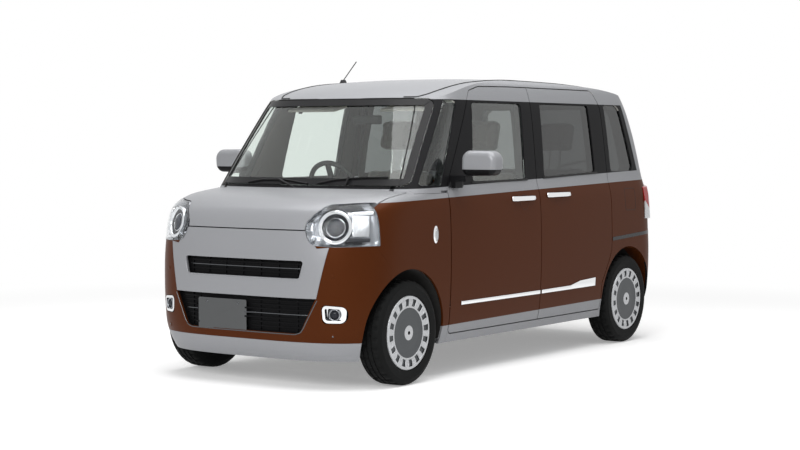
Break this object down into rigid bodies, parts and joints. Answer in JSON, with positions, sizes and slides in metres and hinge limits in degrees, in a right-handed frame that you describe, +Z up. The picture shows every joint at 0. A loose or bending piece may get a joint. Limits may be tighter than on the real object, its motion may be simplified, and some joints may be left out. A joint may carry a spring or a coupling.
{
  "type": "kei car",
  "caption": "Tall small passenger car with steered front wheels, hinged front doors, bonnet and tailgate, fixed sliding rear doors and a hollow furnished cabin.",
  "frame": {"origin": "on the ground under the middle of the car's length and width", "axes": "+Z up, the car faces -Y, its left side is +X"},
  "size_m": [1.9692, 3.3949, 1.7741],
  "materials": {
    "brown_paint": "metallic gloss",
    "silver_paint": "metallic gloss",
    "clear_glass": "clear",
    "privacy_glass": "dark",
    "lamp_glass": "clear",
    "red_lens": "gloss",
    "black_plastic": "matte",
    "tyre": "matte",
    "wheel_silver": "satin",
    "steel": "satin black",
    "cast": "rough",
    "alloy": "cast",
    "seat_cloth": "woven",
    "trim": "grained",
    "floor_mat": "satin",
    "exhaust_steel": "dull"
  },
  "bodies": {
    "car_body": {"body_shell": "brown_paint", "roof_panel": "silver_paint", "windscreen": "clear_glass", "side_glass": "clear_glass", "sliding_doors": "brown_paint", "sliding_door_glass": "privacy_glass", "front_mask": "silver_paint", "front_grilles": "black_plastic", "front_bumper": "brown_paint", "front_skirt": "silver_paint", "front_fenders": "brown_paint", "headlamps": "lamp_glass", "fog_lamps": "lamp_glass", "rear_bumper": "brown_paint", "tail_lamps": "red_lens", "floor_pan": "floor_mat", "wheel_arches": "black_plastic", "bulkhead": "steel", "dashboard": "trim", "front_suspension": "steel", "front_structure": "steel", "radiator": "alloy", "engine_block": "alloy", "rear_axle_beam": "steel", "fuel_tank": "black_plastic", "exhaust": "exhaust_steel", "front_seats": "seat_cloth", "rear_seat": "seat_cloth", "steering_column": "black_plastic", "cowl": "black_plastic", "front_under_tray": "black_plastic", "aerial": "black_plastic", "hinge_brackets": "steel"},
    "front_left_wheel": {"tyre_front_left": "tyre", "wheel_front_left": "wheel_silver"},
    "front_right_wheel": {"tyre_front_right": "tyre", "wheel_front_right": "wheel_silver"},
    "rear_left_wheel": {"tyre_rear_left": "tyre", "wheel_rear_left": "wheel_silver"},
    "rear_right_wheel": {"tyre_rear_right": "tyre", "wheel_rear_right": "wheel_silver"},
    "left_knuckle": {"knuckle_left": "cast"},
    "right_knuckle": {"knuckle_right": "cast"},
    "steering": {"steering_wheel": "black_plastic"},
    "left_door": {"front_door_left": "brown_paint", "front_door_glass_left": "clear_glass", "mirror_left": "silver_paint"},
    "right_door": {"front_door_right": "brown_paint", "front_door_glass_right": "clear_glass", "mirror_right": "silver_paint"},
    "bonnet": {"bonnet": "silver_paint"},
    "tailgate": {"tailgate": "brown_paint", "tailgate_glass": "privacy_glass"}
  },
  "joints": [
    {"name": "front_left_spin", "type": "hinge", "parent": "left_knuckle", "child": "front_left_wheel", "pos_m": [0.651, -1.1925, 0.2785], "axis": [1, 0, 0], "continuous": true},
    {"name": "front_right_spin", "type": "hinge", "parent": "right_knuckle", "child": "front_right_wheel", "pos_m": [-0.651, -1.1925, 0.2785], "axis": [1, 0, 0], "continuous": true},
    {"name": "rear_left_spin", "type": "hinge", "parent": "car_body", "child": "rear_left_wheel", "pos_m": [0.651, 1.2675, 0.2785], "axis": [1, 0, 0], "continuous": true},
    {"name": "rear_right_spin", "type": "hinge", "parent": "car_body", "child": "rear_right_wheel", "pos_m": [-0.651, 1.2675, 0.2785], "axis": [1, 0, 0], "continuous": true},
    {"name": "left_steer", "type": "hinge", "parent": "car_body", "child": "left_knuckle", "pos_m": [0.602, -1.1925, 0.185], "axis": [-0.1051, 0, 0.9945], "range_deg": [-35, 35]},
    {"name": "right_steer", "type": "hinge", "parent": "car_body", "child": "right_knuckle", "pos_m": [-0.602, -1.1925, 0.185], "axis": [0.1051, 0, 0.9945], "range_deg": [-35, 35]},
    {"name": "steering_wheel_turn", "type": "hinge", "parent": "car_body", "child": "steering", "pos_m": [-0.3, -0.474, 1.005], "axis": [0, 0.9063, 0.4226], "range_deg": [-520, 520]},
    {"name": "left_door_swing", "type": "hinge", "parent": "car_body", "child": "left_door", "pos_m": [0.722, -0.78, 0.63], "axis": [0, 0, -1], "range_deg": [0, 65]},
    {"name": "right_door_swing", "type": "hinge", "parent": "car_body", "child": "right_door", "pos_m": [-0.722, -0.78, 0.63], "axis": [0, 0, 1], "range_deg": [0, 65]},
    {"name": "bonnet_swing", "type": "hinge", "parent": "car_body", "child": "bonnet", "pos_m": [0, -1.1, 0.994], "axis": [-1, 0, 0], "range_deg": [0, 50]},
    {"name": "tailgate_swing", "type": "hinge", "parent": "car_body", "child": "tailgate", "pos_m": [0, 1.48, 1.566], "axis": [1, 0, 0], "range_deg": [0, 85]}
  ],
  "couplings": [
    {"joint": "right_steer", "follows": "left_steer", "ratio": 1},
    {"joint": "steering_wheel_turn", "follows": "left_steer", "ratio": -14}
  ]
}
